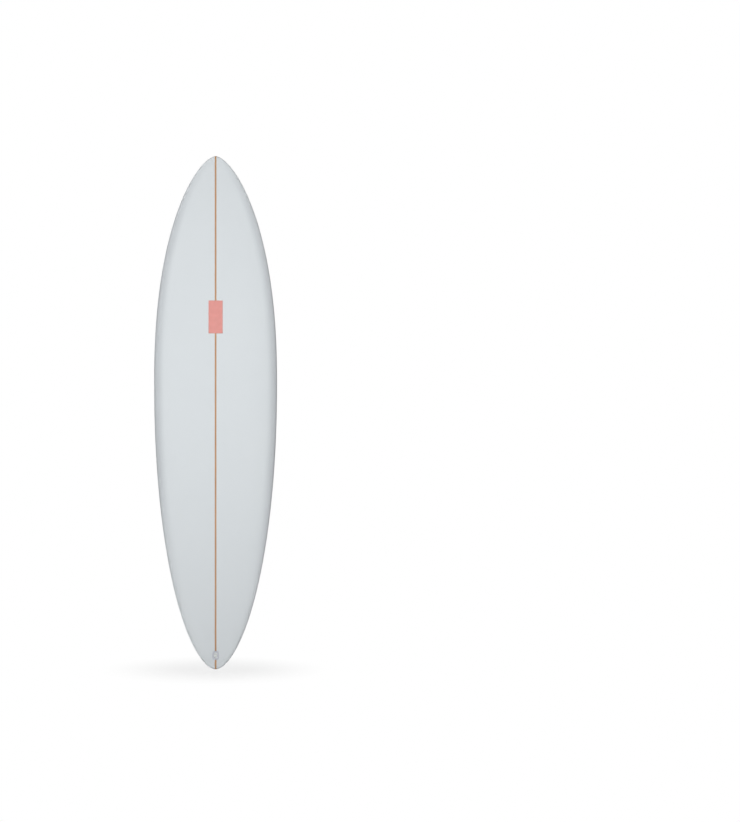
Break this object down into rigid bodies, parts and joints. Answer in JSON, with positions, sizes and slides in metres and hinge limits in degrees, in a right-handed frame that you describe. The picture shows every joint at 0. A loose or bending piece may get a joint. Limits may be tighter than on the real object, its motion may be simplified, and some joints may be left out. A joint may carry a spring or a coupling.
{
  "type": "surfboard",
  "caption": "Mid-length surfboard with a rounded pin tail: a foam core and wooden stringer under clear glass, slotted fin boxes with grub screws, and a leash plug.",
  "frame": {"origin": "the tail tip, where the board's tail stands in an upright rack", "axes": "+Z along the stringer to the nose, -Y out of the deck, +Y out of the bottom, -X to the rider's left"},
  "size_m": [0.5168, 0.1268, 2.134],
  "materials": {
    "foam": "sanded white foam",
    "stringer": "planed reddish wood",
    "glue": "dried glue",
    "inner_cloth": "clear laminated cloth",
    "glass": "clear polished gloss coat",
    "label": "thin printed paper",
    "dot": "thin printed paper",
    "box_plastic": "moulded white plastic",
    "resin": "cast resin",
    "screw_steel": "turned stainless steel",
    "plug_plastic": "moulded white plastic",
    "bar_steel": "drawn stainless steel"
  },
  "bodies": {
    "board": {"foam_left": "foam", "foam_right": "foam", "stringer": "stringer", "stringer_glue_left": "glue", "stringer_glue_right": "glue", "deck_patch": "inner_cloth", "deck_glass": "glass", "bottom_glass": "glass", "label_panel": "label", "fin_box_left": "box_plastic", "fin_box_right": "box_plastic", "fin_box_resin_left": "resin", "fin_box_resin_right": "resin", "fin_dot_left": "dot", "fin_dot_right": "dot", "leash_cup": "plug_plastic", "leash_bar": "bar_steel", "leash_resin": "resin"},
    "left_screw": {"fin_screw_left": "screw_steel"},
    "right_screw": {"fin_screw_right": "screw_steel"}
  },
  "joints": [
    {"name": "left_screw_travel", "type": "slide", "parent": "board", "child": "left_screw", "axis": [0.0224, 0.807, 0.5901], "range_m": [-0.006, 0.003]},
    {"name": "right_screw_travel", "type": "slide", "parent": "board", "child": "right_screw", "axis": [-0.0224, 0.807, 0.5901], "range_m": [-0.006, 0.003]}
  ]
}
